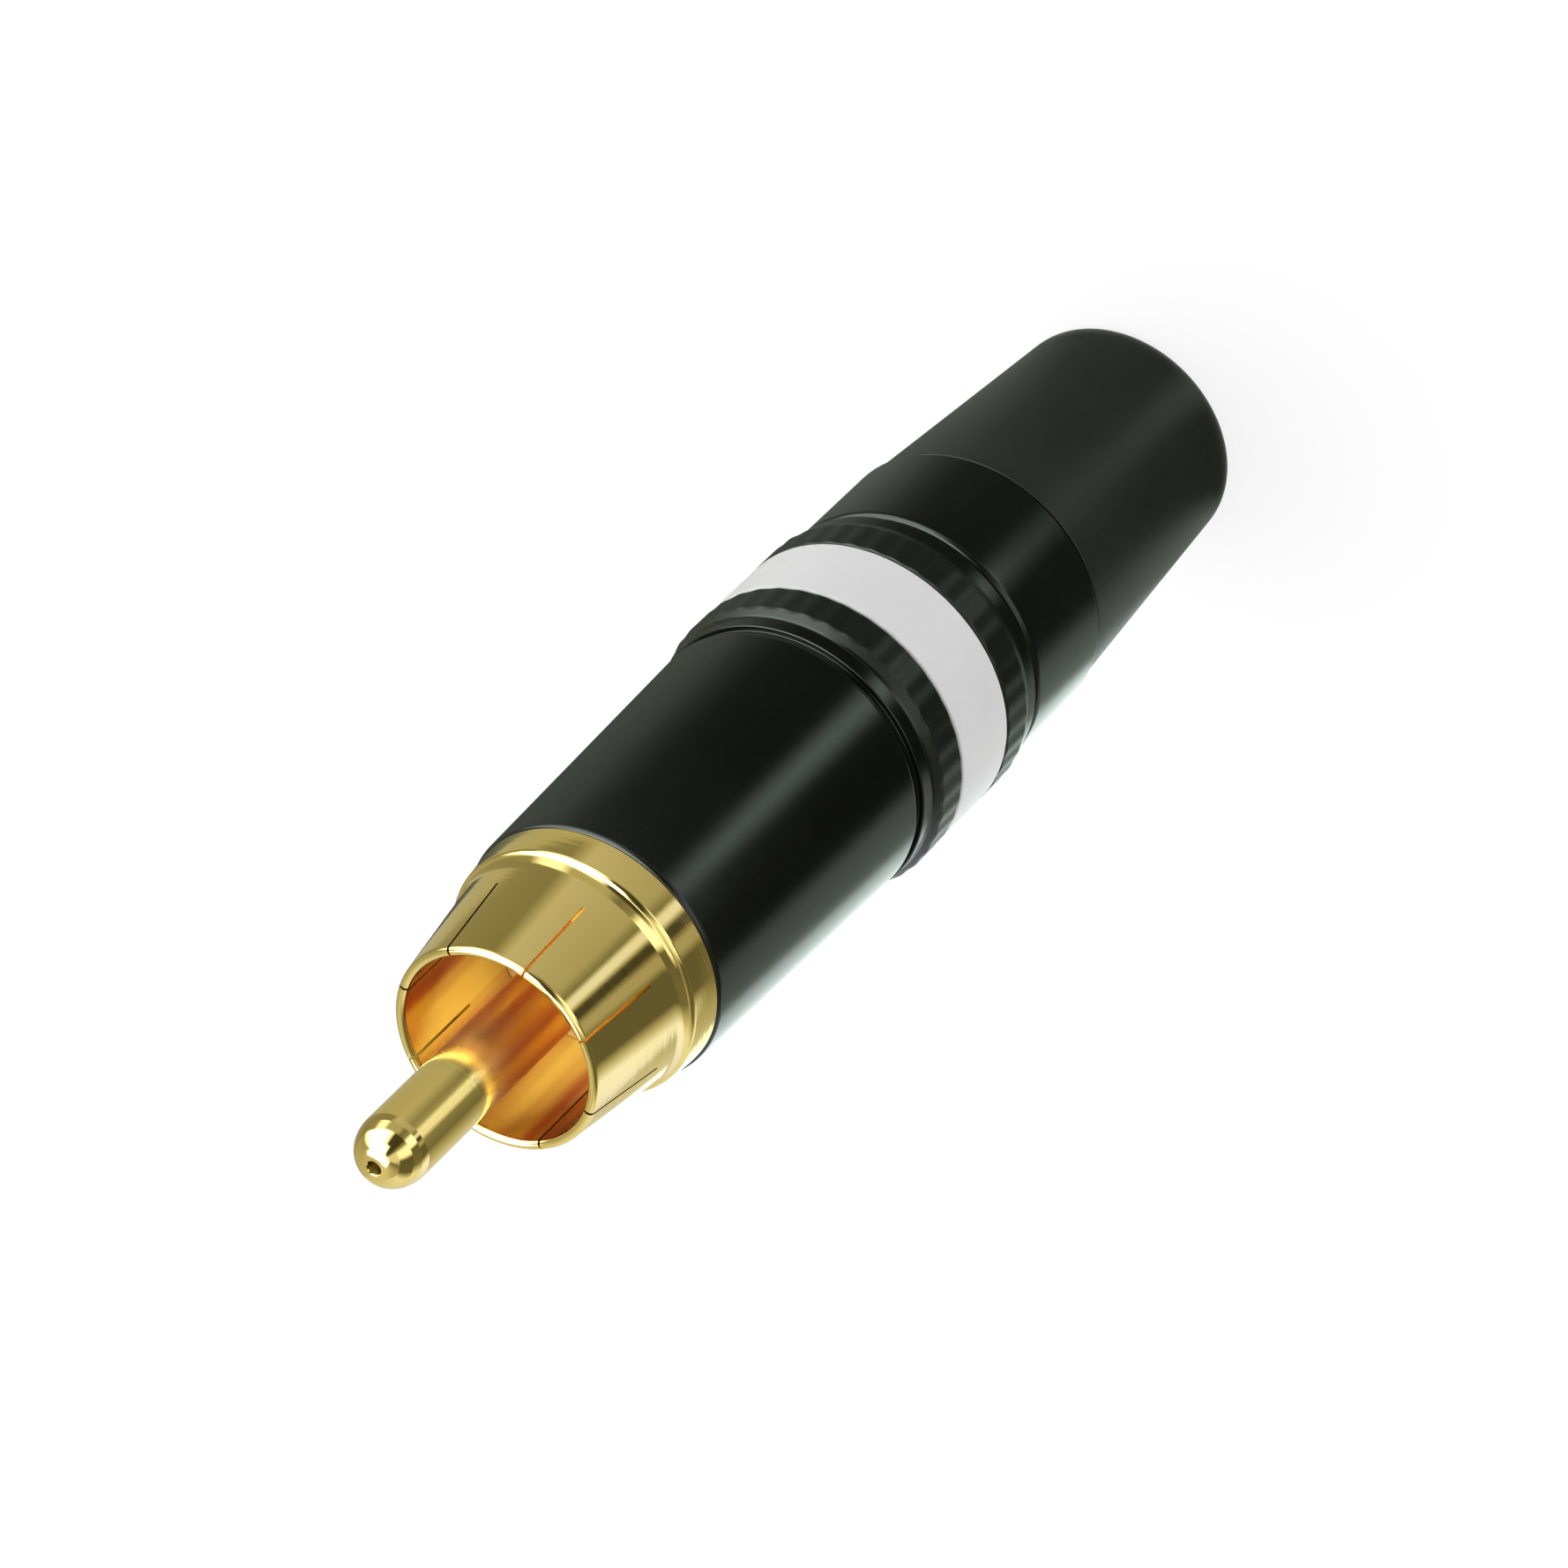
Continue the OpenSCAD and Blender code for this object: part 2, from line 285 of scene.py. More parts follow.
def band_profile(edge_z, wall_r, way):
    """Corners from a band's edge at the coding ring to a wall: band, slope, land, groove, shoulder.

    The way is 1 towards the pin and -1 towards the boot. One point more lies on the slope where it
    passes the root of the ribs, since they run out there. The shoulder is an arc that the wall touches.
    """
    slope_z = edge_z + way * knurl_w
    land_z = slope_z + way * bevel_len
    groove_z = land_z + way * land_w
    shoulder_z = groove_z + way * groove_w
    land_r = wall_r + land_h
    groove_r = wall_r - groove_depth
    run_out = slope_z + way * bevel_len * knurl_depth / (knurl_r - land_r)
    start = np.degrees(np.arccos(1 - groove_depth / shoulder_edge))
    centre_z = shoulder_z + way * shoulder_edge
    shoulder = arc(wall_r - shoulder_edge, centre_z, shoulder_edge, -way * start, 0)
    return np.concatenate([
        [(knurl_r, edge_z, knurl_edge), (knurl_r, slope_z, bevel_edge), (root_r, run_out, 0),
         (land_r, land_z, bevel_edge), (land_r, groove_z, groove_edge), (groove_r, groove_z, groove_edge),
         (groove_r, shoulder_z, 0)],
        np.pad(shoulder, ((0, 0), (0, 1)))])


def ribs(low_z, high_z):
    """Depth of a knurl's grooves: a rounded wave round the axis, on what stands proud of the root.

    The lacquer fills a share of it.
    """
    def dent(outline, angle):
        wave = 0.5 - 0.5 * np.cos(knurl_ribs * angle)
        on_band = (outline[:, 1] > low_z - guard) & (outline[:, 1] < high_z + guard)
        proud = np.where(on_band, np.clip(outline[:, 0] - root_r, 0, None), 0)
        return (1 - rib_fill) * proud[:, None] * wave

    return dent


class Wire:
    """A shader socket. Arithmetic on wires and numbers adds Math nodes to the material."""

    def __init__(self, finish, socket):
        self.finish = finish
        self.socket = socket

    def _math(self, operation, first, second):
        """A Math node on two values or wires."""
        return self.finish.node("ShaderNodeMath", {"operation": operation}, {0: first, 1: second})

    def __add__(self, other):
        return self._math("ADD", self, other)

    def __sub__(self, other):
        return self._math("SUBTRACT", self, other)

    def __rsub__(self, other):
        return self._math("SUBTRACT", other, self)

    def __mul__(self, other):
        return self._math("MULTIPLY", self, other)

    def __gt__(self, other):
        return self._math("GREATER_THAN", self, other)

    def __lt__(self, other):
        return self._math("LESS_THAN", self, other)

    __radd__ = __add__
    __rmul__ = __mul__


class Finish:
    """The nodes of a material or of the world, built from wires."""

    def __init__(self, tree):
        self.tree = tree
        tree.nodes.clear()

    def node(self, kind, settings=None, sockets=None, out=0):
        """Adds a node with its settings, fills its sockets with values or wires, and gives an output."""
        made = self.tree.nodes.new(kind)
        for name, value in (settings or {}).items():
            setattr(made, name, value)
        for name, value in (sockets or {}).items():
            if isinstance(value, Wire):
                self.tree.links.new(value.socket, made.inputs[name])
            else:
                made.inputs[name].default_value = value
        return None if out is None else Wire(self, made.outputs[out])

    def place(self):
        """The point on the piece, in metres."""
        return self.node("ShaderNodeTexCoord", out="Object")

    def noise(self, per_mm, detail=2.0, stretch=(1, 1, 1)):
        """Noise between 0 and 1 with about so many lumps in a millimetre."""
        scale = [s * per_mm / MM for s in stretch]
        at = self.node("ShaderNodeMapping", {}, {"Vector": self.place(), "Scale": scale})
        return self.node("ShaderNodeTexNoise", {}, {"Vector": at, "Scale": 1.0, "Detail": detail})

    def off_axis(self):
        """Distance from the plug's axis, in millimetres."""
        across = {0: self.place(), 1: (1, 1, 0)}
        flat = self.node("ShaderNodeVectorMath", {"operation": "MULTIPLY"}, across)
        length = self.node("ShaderNodeVectorMath", {"operation": "LENGTH"}, {0: flat}, out="Value")
        return length * (1 / MM)

    def height(self):
        """Height over the floor, in millimetres."""
        return self.node("ShaderNodeSeparateXYZ", {}, {0: self.place()}, out="Z") * (1 / MM)

    def between(self, low, high, share):
        """The colour between two, each a triple or a wire, by a share that is held from 0 to 1."""
        ends = [c if isinstance(c, Wire) else (*c, 1) for c in (low, high)]
        sockets = {"Factor": share, 6: ends[0], 7: ends[1]}
        return self.node("ShaderNodeMix", {"data_type": "RGBA"}, sockets, out=2)

    def held(self, share):
        """A share that is held from 0 to 1."""
        return self.node("ShaderNodeMix", {"data_type": "FLOAT"}, {"Factor": share, 2: 0.0, 3: 1.0})

    def bump(self, height, depth_mm):
        """Normals of a surface raised by a height from 0 to 1 times a depth."""
        return self.node("ShaderNodeBump", {}, {"Height": height, "Distance": depth_mm * MM})

    def seen(self):
        """1 for what the camera sees, straight, in gloss or through glass, and 0 for other light."""
        camera = self.node("ShaderNodeLightPath", out="Is Camera Ray")
        gloss = self.node("ShaderNodeLightPath", out="Is Glossy Ray")
        glass = self.node("ShaderNodeLightPath", out="Is Transmission Ray")
        return camera + gloss + glass

    def surface(self, **sockets):
        """Ends the material in one shader with these sockets, named with _ for a space."""
        named = {name.replace("_", " "): value for name, value in sockets.items()}
        self.end(self.node("ShaderNodeBsdfPrincipled", {}, named))

    def end(self, shader, kind="ShaderNodeOutputMaterial"):
        """Ends the nodes in a shader."""
        self.node(kind, {}, {"Surface": shader}, out=None)


def new_finish(name):
    """An empty node material and the finish that fills it."""
    material = bpy.data.materials.new(name)
    material.use_nodes = True
    return material, Finish(material.node_tree)


def black_lacquer():
    """Gloss black over turned metal, with a faint ripple, a few duller patches and more matt knurls."""
    material, f = new_finish("black_lacquer")
    knurl = f.off_axis() > matt_r
    patch = f.noise(0.25, 3)
    ripple = f.noise(1.2, 2)
    f.surface(Base_Color=f.between((0.0032, 0.0038, 0.0027), (0.0048, 0.0055, 0.004), patch),
              Specular_Tint=(0.94, 1.0, 0.95, 1),
              Roughness=0.17 + 0.07 * patch + 0.2 * knurl,
              Normal=f.bump(ripple, 0.004))
    return material


def boot_plastic():
    """Satin black moulded plastic with a fine spark-eroded grain."""
    material, f = new_finish("boot_black")
    patch = f.noise(0.2, 3)
    grain = f.noise(9, 2)
    f.surface(Base_Color=f.between((0.0125, 0.0135, 0.011), (0.018, 0.0195, 0.016), patch),
              Roughness=0.36 + 0.1 * patch + 0.06 * grain,
              Normal=f.bump(grain, 0.006))
    return material


def gold_plate():
    """Polished gold plating with the fine rings that turning leaves and a warm drift of colour.

    The bore is duller, and its colour is painted reflection: streaks along the axis and a few bands
    of brown and yellow round it. The pin grows duller towards its root, where a painted reflection of
    the bore makes it warmer, and painted shade darkens the dimple in its end.
    """
    material, f = new_finish("gold_plate")
    radius = f.off_axis()
    bore = (radius > pin_side_r) * (radius < mouth_r - mouth_wall + bore_margin)
    dimple = radius < dimple_r
    root = (radius < pin_side_r) * f.held((mouth_z + root_reach - f.height()) * root_fade)
    # Painted reflection in the bore: streaks along the axis and bands round it give its walls a brown to
    # yellow colour that stands for what they mirror
    streak = f.noise(0.7, 3, stretch=(1, 1, 0.03))
    turn = f.node("ShaderNodeTexGradient", {"gradient_type": "RADIAL"}, {"Vector": f.place()}, out=1)
    swing = turn * (2 * np.pi * bore_reflection_waves) + bore_reflection_phase
    wave = f.node("ShaderNodeMath", {"operation": "COSINE"}, {0: swing})
    drift = f.noise(0.3, 2)
    rings = f.noise(6, 2, stretch=(0.02, 0.02, 1))
    outside = f.between((0.84, 0.64, 0.215), (0.9, 0.71, 0.285), drift)
    yellow = (streak - 0.5) * 3 + 0.42 - 0.5 * wave
    # The bore's colour is painted reflection
    inside = f.between((0.53, 0.2, 0.12), (0.95, 0.92, 0.33), yellow)
    # Towards the root the pin's colour turns to a painted reflection of the orange bore; its dullness there
    # is roughness
    root_reflected_gold = f.between(outside, (0.8, 0.46, 0.26), 0.6 * root)
    # The dimple's dark colour is painted shade in its hollow; it is also rougher
    f.surface(Base_Color=f.between(f.between(root_reflected_gold, inside, bore), (0.14, 0.1, 0.02), dimple),
              Metallic=1.0,
              Roughness=0.06 + 0.06 * rings + 0.15 * bore + 0.24 * root + 0.3 * dimple,
              Normal=f.bump(rings, 0.002))
    return material


def ring_plastic():
    """Satin near-white plastic with a faint mottle."""
    material, f = new_finish("white_plastic")
    patch = f.noise(0.4, 3)
    grain = f.noise(7, 2)
    f.surface(Base_Color=f.between((0.75, 0.735, 0.745), (0.79, 0.78, 0.785), patch),
              Roughness=0.36 + 0.12 * patch,
              Normal=f.bump(grain, 0.003))
    return material


def amber_plastic():
    """Orange moulded plastic with a slight swirl."""
    material, f = new_finish("amber_plastic")
    swirl = f.noise(0.5, 4)
    f.surface(Base_Color=f.between((0.93, 0.56, 0.2), (0.97, 0.66, 0.28), swirl),
              Roughness=0.3 + 0.15 * swirl)
    return material


def ivory_plastic():
    """Warm white chuck plastic with a soft grain."""
    material, f = new_finish("ivory_plastic")
    grain = f.noise(3, 3)
    f.surface(Base_Color=f.between((0.74, 0.7, 0.6), (0.82, 0.78, 0.69), grain),
              Roughness=0.4 + 0.1 * grain,
              Normal=f.bump(grain, 0.005))
    return material


lacquer = black_lacquer()
boot_black = boot_plastic()
gold = gold_plate()
white = ring_plastic()
amber = amber_plastic()
ivory = ivory_plastic()


def front_shell():
    """Shell, shoulder groove, slope, knurl and neck: one closed outline, with ribs on the knurl."""
    outline = guarded(rounded([
        (neck_hole_r, neck_z, soft_edge), (neck_r, neck_z, neck_edge), (neck_r, ring_z, 0),
        (guide_r, ring_z, soft_edge), (guide_r, shell_z, 0), *band_profile(shell_z, shell_rear_r, 1),
        (shell_front_r, flange_z, shell_edge), (seat_r, flange_z, fine_edge), (seat_r, seat_z, 0),
        (neck_hole_r, seat_z, 0)]))
    knurl = ribs(shell_z, shell_z + knurl_w + bevel_len)
    hollow("front_shell_turned", outline, knurl_ribs * columns_rib, knurl, body="plug_front",
           slot="black_lacquer", material=lacquer, replaced=["front_shell"])


def neck_thread():
    """Ridge of a screw thread: a trapezoid carried along a helix that fades out at both ends."""
    turns = (ring_z - neck_z) / thread_pitch - thread_plain_turns
    steps = int(turns * steps_turn)
    share = np.linspace(0, 1, steps)[:, None]
    fade = np.clip(np.minimum(share, 1 - share) * turns / thread_fade_turns, thread_end, 1)
    foot, crest = 0.42, 0.12
    tooth = np.array([(0, -foot), (1, -crest), (1, crest), (0, foot)])
    radius = neck_r - thread_sunk + (thread_h + thread_sunk) * tooth[None, :, 0] * fade
    start = neck_z + thread_plain_turns / 2 * thread_pitch
    height = start + (share * turns + tooth[None, :, 1]) * thread_pitch
    angle = np.broadcast_to(share * turns * 2 * np.pi, radius.shape)
    points = round_axis(radius, height, angle)
    sides = quads(steps, len(tooth), wrap_rows=False)[:, ::-1]
    ends = np.array([[0, 1, 2, 3], [3, 2, 1, 0]]) + np.array([[0], [(steps - 1) * len(tooth)]])
    piece("neck_thread", points, [sides, ends], "plug_front", "black_lacquer", lacquer)


def ground_sleeve():
    """Sleeve: one closed outline round the axis, opened into fingers by slits with parallel sides.

    The flange narrows a little towards the cone. A column between two slits lies at the finger's share
    of the angle left between them, and a slit's half width takes the angle whose sine is that half
    width over the radius.
    """
    cone_z = flange_z + flange_t
    rim_r = mouth_wall / 2
    base_r = flange_r + flange_taper / 2
    top_r = flange_r - flange_taper / 2
    crest_r = top_r - flange_edge * (1 - np.cos(crest_angle))
    crest_z = cone_z - flange_edge * (1 - np.sin(crest_angle))
    cove_angle = np.degrees(np.arccos(1 - (crest_r - cone_base_r) / cove_r))
    cove_z = crest_z + cove_r * np.sin(np.radians(cove_angle))
    slope = np.degrees(np.arctan2(cone_base_r - mouth_r, mouth_z - rim_r - cove_z))
    slit_z = mouth_z - slit_len
    hole_r = mouth_r - mouth_wall
    cove = arc(cone_base_r + cove_r, cove_z, cove_r, 180 + cove_angle, 180 + slope)
    rim = arc(mouth_r - rim_r, mouth_z - rim_r, rim_r, slope, 180, steps_rim)
    outer = np.linspace(cove[-1], rim[0], steps_cone)
    above = outer[:, 1] > slit_z
    slit_share = (slit_z - cove[-1, 1]) / (rim[0, 1] - cove[-1, 1])
    slit_point = cove[-1] + (rim[0] - cove[-1]) * slit_share
    rise = outer[above]
    fall = np.stack([np.full(len(rise), hole_r), rise[::-1, 1]], 1)
    finger = np.concatenate([[slit_point], rise[:-1], rim, fall[1:], [[hole_r, slit_z]]])
    base = np.concatenate([
        [[hole_r, slit_z - guard], [hole_r, insulator_z], [shoulder_r, insulator_z],
         [shoulder_r, spigot_z], [spigot_r - spigot_chamfer, spigot_z],
         [spigot_r, spigot_z + spigot_chamfer], [spigot_r, flange_z],
         [base_r - flange_chamfer, flange_z], [base_r, flange_z + flange_chamfer]],
        arc(top_r - flange_edge, cone_z - flange_edge, flange_edge, flange_lean, np.degrees(crest_angle)),
        cove[1:], outer[~above][1:]])
    base = base[base[:, 1] < slit_z]
    outline = np.concatenate([finger, base])
    rows, columns = len(outline), slit_count * columns_finger
    gap = np.arcsin(slit_w / 2 / outline[:, :1])
    wedge = 2 * np.pi / slit_count
    column = np.arange(columns)
    share = (column % columns_finger) / (columns_finger - 1)
    angle = (column // columns_finger) * wedge + gap + share * (wedge - 2 * gap)
    points = round_axis(np.repeat(outline[:, :1], columns, 1), outline[:, 1:], angle)

    grid = quads(rows, columns).reshape(rows, columns, 4)
    at_slit = column % columns_finger == columns_finger - 1
    last = len(finger) - 1
    skin = grid[:, ~at_slit].reshape(-1, 4)
    bridge = grid[last:, at_slit].reshape(-1, 4)
    left = column[at_slit]
    right = (left + 1) % columns
    floor = np.stack([left, right, last * columns + right, last * columns + left], 1)
    up = np.arange(last // 2)[:, None]
    down = last - up
    wall_left = np.stack([up * columns + left, down * columns + left, (down - 1) * columns + left,
                          (up + 1) * columns + left], -1).reshape(-1, 4)
    wall_right = np.stack([up * columns + right, (up + 1) * columns + right,
                           (down - 1) * columns + right, down * columns + right], -1).reshape(-1, 4)
    piece("ground_sleeve_slit", points, [skin, bridge, floor, wall_left, wall_right],
          "plug_front", "gold_plate", gold, ["ground_sleeve"])


def centre_pin():
    """Pin: an outline from its solder cup's floor, round the outside, to its dimple's floor, turned.

    The tip is a quarter of an ellipse. Half of the cup is cut back to half its depth: what lies below
    the cut is squeezed into a thin lip on it.
    """
    cup_len = insulator_z - cup_z
    tip = arc(0, 0, 1, 0, 90, steps_tip) * [pin_r - tip_flat_r, tip_len] + [tip_flat_r, tip_z - tip_len]
    outline = np.concatenate([
        [[0, insulator_z - cup_hole_r], [cup_hole_r, insulator_z - cup_hole_r], [cup_hole_r, cup_z],
         [stem_r, cup_z], [stem_r, insulator_face_z], [pin_r - pin_chamfer, insulator_face_z],
         [pin_r, insulator_face_z + pin_chamfer]],
        tip, [[dimple_r + dimple_edge, tip_z], [dimple_r, tip_z - dimple_edge], [0, tip_z - dimple_depth]]])
    outline = guarded(outline, closed=False)
    columns = columns_pin
    half_column = np.pi / columns
    angle = np.arange(columns)[None, :] * 2 * half_column + half_column
    cut_back = np.where(np.cos(angle) > 0, cup_len * cup_cut, 0)
    cut_z = cup_z + cut_back
    level = outline[:, 1:]
    height = np.where(level < cut_z, cut_z + cut_lip * (level - cup_z), level)
    turned = slice(1, -1)
    points = round_axis(np.repeat(outline[turned, :1], columns, 1), height[turned], angle)
    rows = len(outline) - 2
    poles = np.array([[0, 0, outline[0, 1]], [0, 0, outline[-1, 1]]]) * MM
    points = np.concatenate([points.reshape(-1, 3), poles])
    column = np.arange(columns)
    column_next = (column + 1) % columns
    first, last = rows * columns, rows * columns + 1
    bottom = np.stack([column_next, column, np.full(columns, first)], 1)
    top_row = (rows - 1) * columns
    top = np.stack([top_row + column, top_row + column_next, np.full(columns, last)], 1)
    piece("centre_pin_bullet", points, [quads(rows, columns, wrap_rows=False), bottom, top],
          "plug_front", "gold_plate", gold, ["centre_pin"])


def colour_ring():
    """Ring: a rectangle with rounded corners carried round the axis."""
    outline = guarded(rounded([
        (ring_hole_r, ring_low_z, fine_edge), (ring_r, ring_low_z, ring_edge),
        (ring_r, ring_high_z, ring_edge), (ring_hole_r, ring_high_z, fine_edge)]))
    hollow("colour_ring_moulded", outline, columns_plain, body="ring", slot="white_plastic",
           material=white, replaced=["colour_ring"])


def rear_bushing():
    """Bushing: tail with its rib, skirt, groove, slope and knurl outside, thread bore and cone inside."""
    rib_r = tail_r + tail_rib_h
    outline = guarded(rounded([
        (nose_hole_r, tail_z, fine_edge), (tail_r, tail_z, tail_edge), (tail_r, tail_rib_low, 0),
        (rib_r, tail_rib_low, tail_rib_edge), (rib_r, tail_rib_high, tail_rib_edge),
        (tail_r, tail_rib_high, 0), (tail_r, seam_z, 0), (bushing_r, seam_z, seam_edge),
        *band_profile(ring_z, bushing_r, -1)[::-1], (thread_hole_r, ring_z, thread_hole_edge),
        (thread_hole_r, step_z, 0), (chuck_clear_r, step_z, 0), (nose_hole_r, nose_z, 0)]))
    knurl = ribs(ring_z - knurl_w - bevel_len, ring_z)
    hollow("rear_bushing_turned", outline, knurl_ribs * columns_rib, knurl, body="plug_rear",
           slot="black_lacquer", material=lacquer, replaced=["rear_bushing"])


def cable_boot():
    """Boot: a tapered wall with a rounded rear end, seated on the bushing's ribbed tail."""
    rib_r = boot_seat_r + tail_rib_h
    outline = guarded(rounded([
        (cable_r, boot_z + entry_chamfer, soft_edge), (cable_r + entry_chamfer, boot_z, soft_edge),
        (boot_rear_r, boot_z, boot_edge), (boot_seam_r, boot_top_z, boot_lip_edge),
        (boot_seat_r, boot_top_z, fine_edge), (boot_seat_r, tail_rib_high, 0), (rib_r, tail_rib_high, 0),
        (rib_r, tail_rib_low, 0), (boot_seat_r, tail_rib_low, 0), (boot_seat_r, tail_z, 0),
        (cable_r, tail_z, 0)], steps_boot))
    hollow("cable_boot_moulded", outline, columns_plain, body="plug_rear", slot="boot_black",
           material=boot_black, replaced=["cable_boot"])


front_shell()
neck_thread()
ground_sleeve()
centre_pin()
colour_ring()
rear_bushing()
cable_boot()

for node, material in [("pin_insulator", amber), ("ground_tag", gold), ("cable_chuck", ivory)]:
    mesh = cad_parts[node].data
    mesh.materials.clear()
    mesh.materials.append(material)


# Camera
camera_place = Vector((0.20337, -0.06235, 0.23989))
camera_azimuth = np.radians(-16.9)
camera_elevation = np.radians(44.495)
camera_roll = np.radians(-134.55)
camera_lens = 161.98
camera_sensor = 36
camera_clip = 0.01, 20


def studio_camera():
    """A long lens that looks down on the plug, rolled so that its pin points to the lower left."""
    data = bpy.data.cameras.new("camera")
    data.sensor_width = camera_sensor
    data.lens = camera_lens
    camera = bpy.data.objects.new("camera", data)
    flat = np.cos(camera_elevation)
    level = flat * np.cos(camera_azimuth), flat * np.sin(camera_azimuth)
    back = Vector((*level, np.sin(camera_elevation)))
    aim = back.to_track_quat("Z", "Y").to_matrix() @ Matrix.Rotation(camera_roll, 3, "Z")
    camera.matrix_world = Matrix.Translation(camera_place) @ aim.to_4x4()
    data.clip_start, data.clip_end = camera_clip
    bpy.context.scene.collection.objects.link(camera)
    bpy.context.scene.camera = camera


# Stage. The floor's half width and the lamp's width and place are in metres, the rest in millimetres
floor_half = 4.0
floor_drop = 0.02
floor_pale = (0.88, 0.88, 0.88, 1)
floor_white = 0.85
table_lift = 0.3
dome_r = 1500
sky_level = 0.55
lamp_watts = 4.4
lamp_width = 0.5
lamp_place = Vector((-0.1, 0.15, 0.6))


def stage_floor():
    """Wide pale floor: white to the camera and in gloss, with the plug's shadow left on it."""
    mesh = bpy.data.meshes.new("floor")
    corners = np.array([(-1, -1, 0), (1, -1, 0), (1, 1, 0), (-1, 1, 0)]) * floor_half
    mesh.from_pydata(corners + [0, 0, -floor_drop * MM], [], [[0, 1, 2, 3]])
    floor = bpy.data.objects.new("floor", mesh)
    bpy.context.scene.collection.objects.link(floor)
    material, f = new_finish("floor_white")
    pale = f.node("ShaderNodeBsdfDiffuse", {}, {"Color": floor_pale})
    glow = f.node("ShaderNodeEmission", {}, {"Color": (1, 1, 1, 1), "Strength": 1.0})
    f.end(f.node("ShaderNodeMixShader", {}, {0: f.seen() * floor_white, 1: pale, 2: glow}))
    mesh.materials.append(material)


def gloss_band(name, inner, outer, stops, dim, bright):
    """Band round the axis between two (radius, height) points, which only gloss sees.

    Its glow follows straight lines between stops given as (azimuth from the camera's, level), and its
    colour passes from dim to bright with the square of the level.
    """
    azimuth = np.linspace(-180, 180, columns_band)
    level = np.interp(azimuth, *np.array(stops, float).T)
    radius = np.repeat([[inner[0]], [outer[0]]], columns_band, 1)
    points = round_axis(radius, [[inner[1]], [outer[1]]], camera_azimuth - np.radians(azimuth)[None])
    faces = quads(2, columns_band, wrap_rows=False, wrap_columns=False)
    mesh = bpy.data.meshes.new(name)
    mesh.from_pydata(points.reshape(-1, 3), [], faces.tolist())
    glow = np.tile(level, 2)[faces.ravel()]
    mesh.uv_layers.new(name="glow").data.foreach_set("uv", np.repeat(glow, 2))
    made = bpy.data.objects.new(name, mesh)
    bpy.context.scene.collection.objects.link(made)
    made.visible_camera = False
    made.visible_diffuse = False
    made.visible_shadow = False
    material, f = new_finish(name)
    glow_map = f.node("ShaderNodeUVMap", {"uv_map": "glow"})
    strength = f.node("ShaderNodeSeparateXYZ", {}, {0: glow_map})
    colour = f.between(dim, bright, strength * strength)
    f.end(f.node("ShaderNodeEmission", {}, {"Color": colour, "Strength": strength}))
    mesh.materials.append(material)


def on_table(radius):
    """Radius and height of a place just over the floor."""
    return radius, table_lift


def on_dome(elevation):
    """Radius and height of an elevation, in degrees, on a wide dome over the plug."""
    return dome_r * np.cos(np.radians(elevation)), dome_r * np.sin(np.radians(elevation))


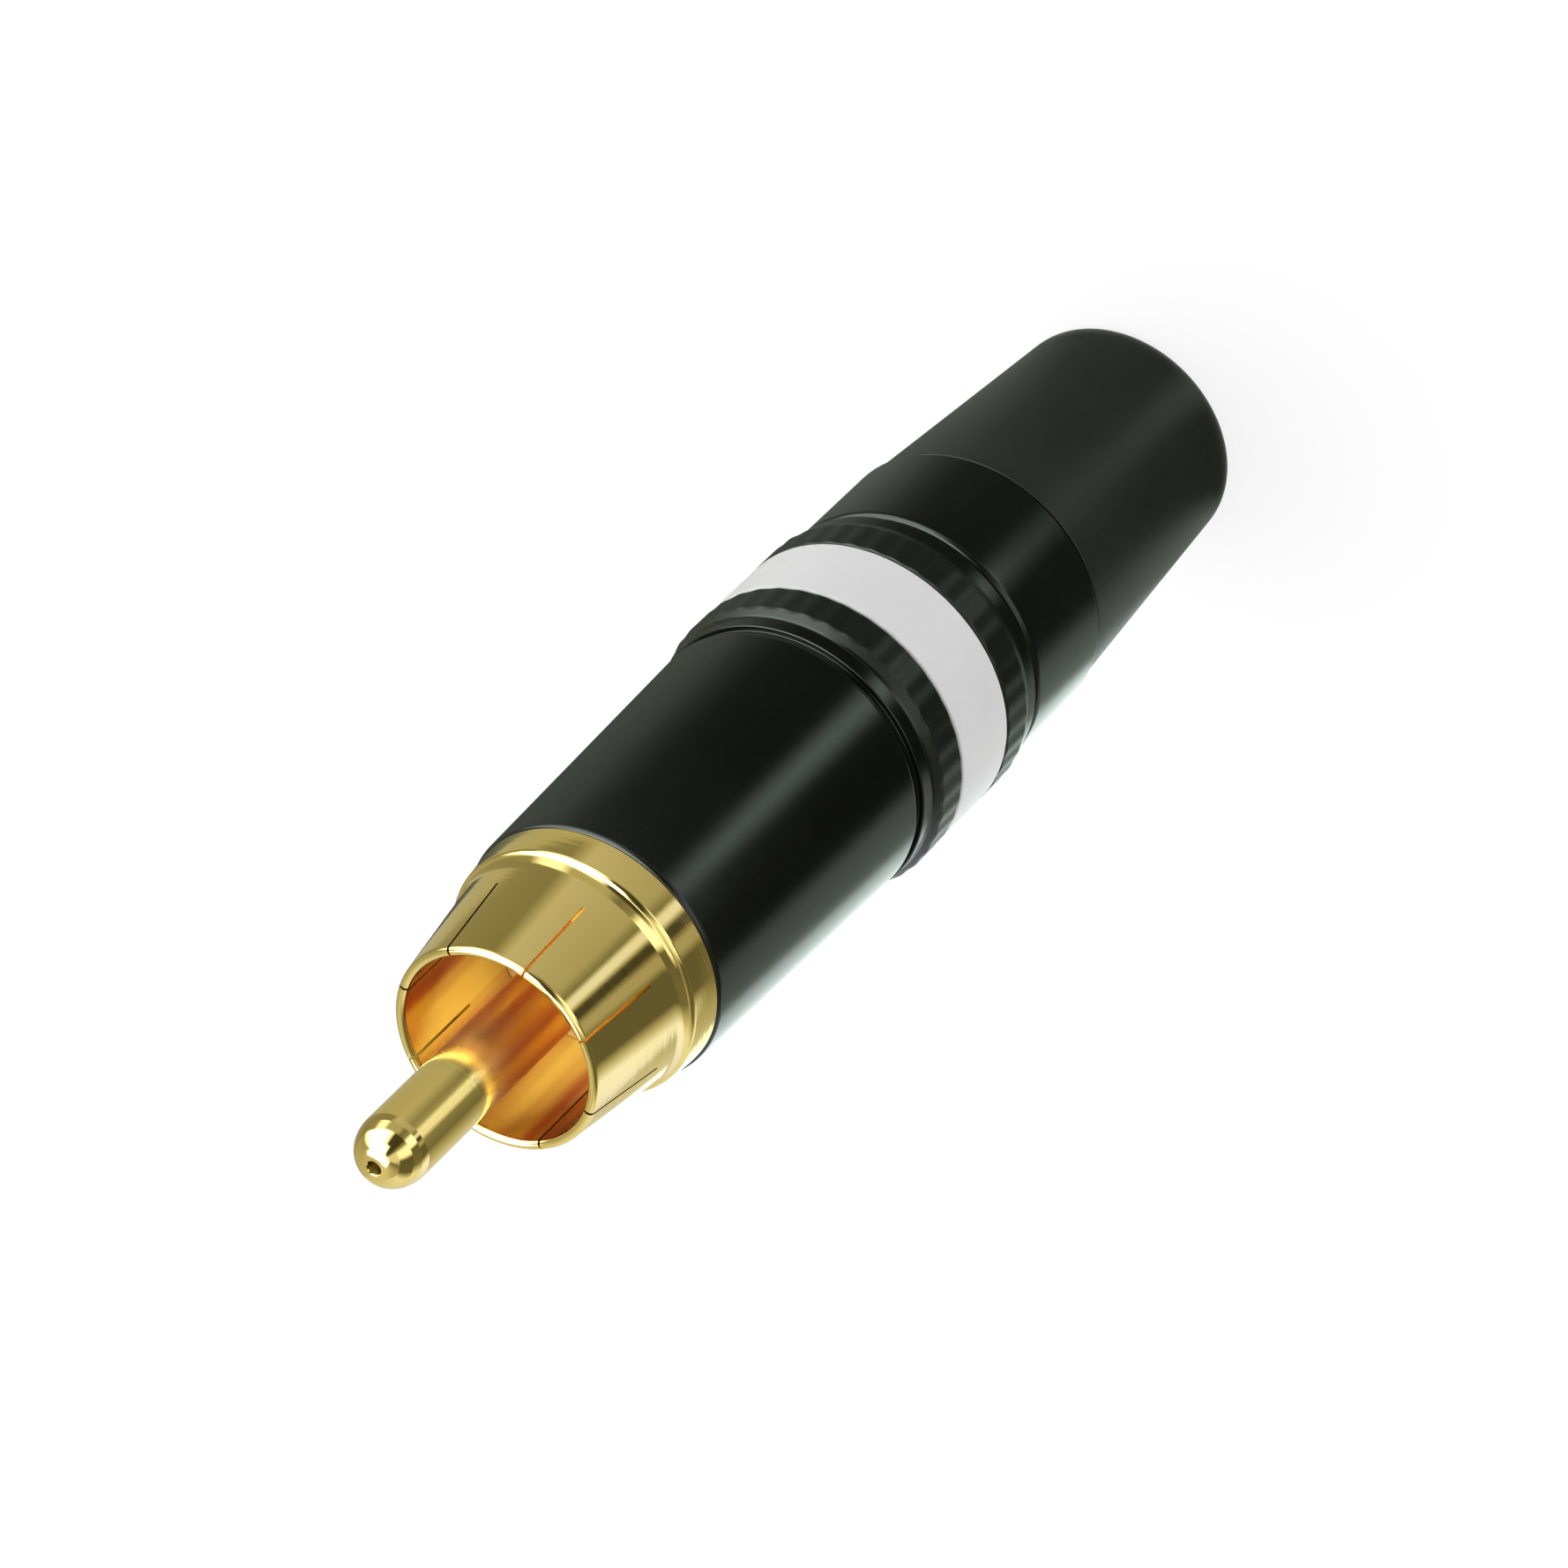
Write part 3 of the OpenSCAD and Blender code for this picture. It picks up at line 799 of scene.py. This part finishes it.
def gloss_surroundings():
    """What the gloss mirrors: a dark table with one streak and pale sides, and a sky with soft boxes."""
    green, mint = (0.87, 1.0, 0.82), (0.88, 1.0, 0.95)
    warm, cool = (1.0, 0.97, 0.62), (1.0, 1.08, 1.4)
    plain = (0.97, 1.02, 1.0)
    gloss_band("table_foot", on_table(5.7), on_table(25.3), [
        (-180, 0.1), (-150, 0.15), (-110, 0.35), (-90, 0.36), (-60, 0.12), (-6, 0.08),
        (8, 0.6), (22, 0.07), (66, 0.06), (82, 0.6), (112, 0.6), (122, 2), (180, 2)], green, mint)
    gloss_band("table_near", on_table(25.3), on_table(63.5), [
        (-180, 0.08), (-150, 0.12), (-130, 0.22), (-100, 0.36), (-80, 0.2), (-60, 0.07), (-5, 0.03),
        (9, 2), (23, 0.02), (72, 0.02), (84, 0.7), (116, 0.5), (124, 1.8), (180, 1.8)], green, mint)
    gloss_band("table_pin", on_table(63.5), on_table(76), [
        (-180, 0.5), (-112, 0.5), (-45, 0.56), (-14, 0.3), (2, 0.4), (12, 1.1), (30, 1.1),
        (42, 0.3), (75, 0.2), (96, 0.42), (130, 0.7), (180, 0.7)], warm, plain)
    gloss_band("table_mid", on_table(76), on_table(135), [
        (-180, 0.4), (-105, 0.3), (-66, 0.26), (-52, 0.6), (-34, 0.55), (2, 0.46), (11, 0.2),
        (15, 0.95), (20, 0.95), (25, 0.06), (31, 0.06), (37, 0.45), (44, 0.45), (50, 0.14), (77, 0.14),
        (97, 1.15), (110, 1.1), (180, 0.6)], warm, cool)
    gloss_band("table_far", on_table(135), on_table(dome_r), [
        (-180, 0.5), (-120, 0.3), (-90, 0.35), (-80, 1.6), (-66, 1.6), (-56, 0.5), (-25, 0.5), (-14, 0.2),
        (0, 0.3), (10, 1.8), (27, 1.8), (35, 0.15), (80, 0.2), (105, 1), (180, 0.7)], warm, plain)
    gloss_band("sky_low", on_dome(0), on_dome(40), [
        (-180, 0.6), (-115, 0.4), (-98, 4), (-45, 4), (-26, 0.06), (2, 0.06), (12, 0.4),
        (20, 1.4), (40, 1.4), (52, 0.12), (95, 0.15), (118, 1), (180, 0.7)], warm, plain)
    gloss_band("sky_middle", on_dome(40), on_dome(75), [
        (-180, 0.6), (-115, 0.5), (-98, 6), (-28, 6), (-14, 0.06), (5, 0.06), (18, 0.9), (50, 0.9),
        (70, 0.2), (110, 0.5), (180, 0.8)], warm, plain)
    gloss_band("sky_top", on_dome(75), on_dome(90), [(-180, 2), (180, 2)], warm, plain)


def studio_light():
    """Even light from all round, white where it is seen, and a wide soft lamp above."""
    world = bpy.data.worlds.new("studio")
    bpy.context.scene.world = world
    world.use_nodes = True
    f = Finish(world.node_tree)
    strength = sky_level + (1 - sky_level) * f.seen()
    light = f.node("ShaderNodeBackground", {}, {"Color": (1, 1, 1, 1), "Strength": strength})
    f.end(light, "ShaderNodeOutputWorld")
    lamp = bpy.data.lights.new("soft_lamp", "AREA")
    lamp.shape = "DISK"
    lamp.size = lamp_width
    lamp.energy = lamp_watts
    made = bpy.data.objects.new("soft_lamp", lamp)
    made.location = lamp_place
    made.rotation_euler = lamp_place.to_track_quat("Z", "Y").to_euler()
    bpy.context.scene.collection.objects.link(made)


studio_camera()
stage_floor()
gloss_surroundings()
studio_light()

view = bpy.context.scene.view_settings
view.view_transform = "Standard"

bpy.context.view_layer.update()
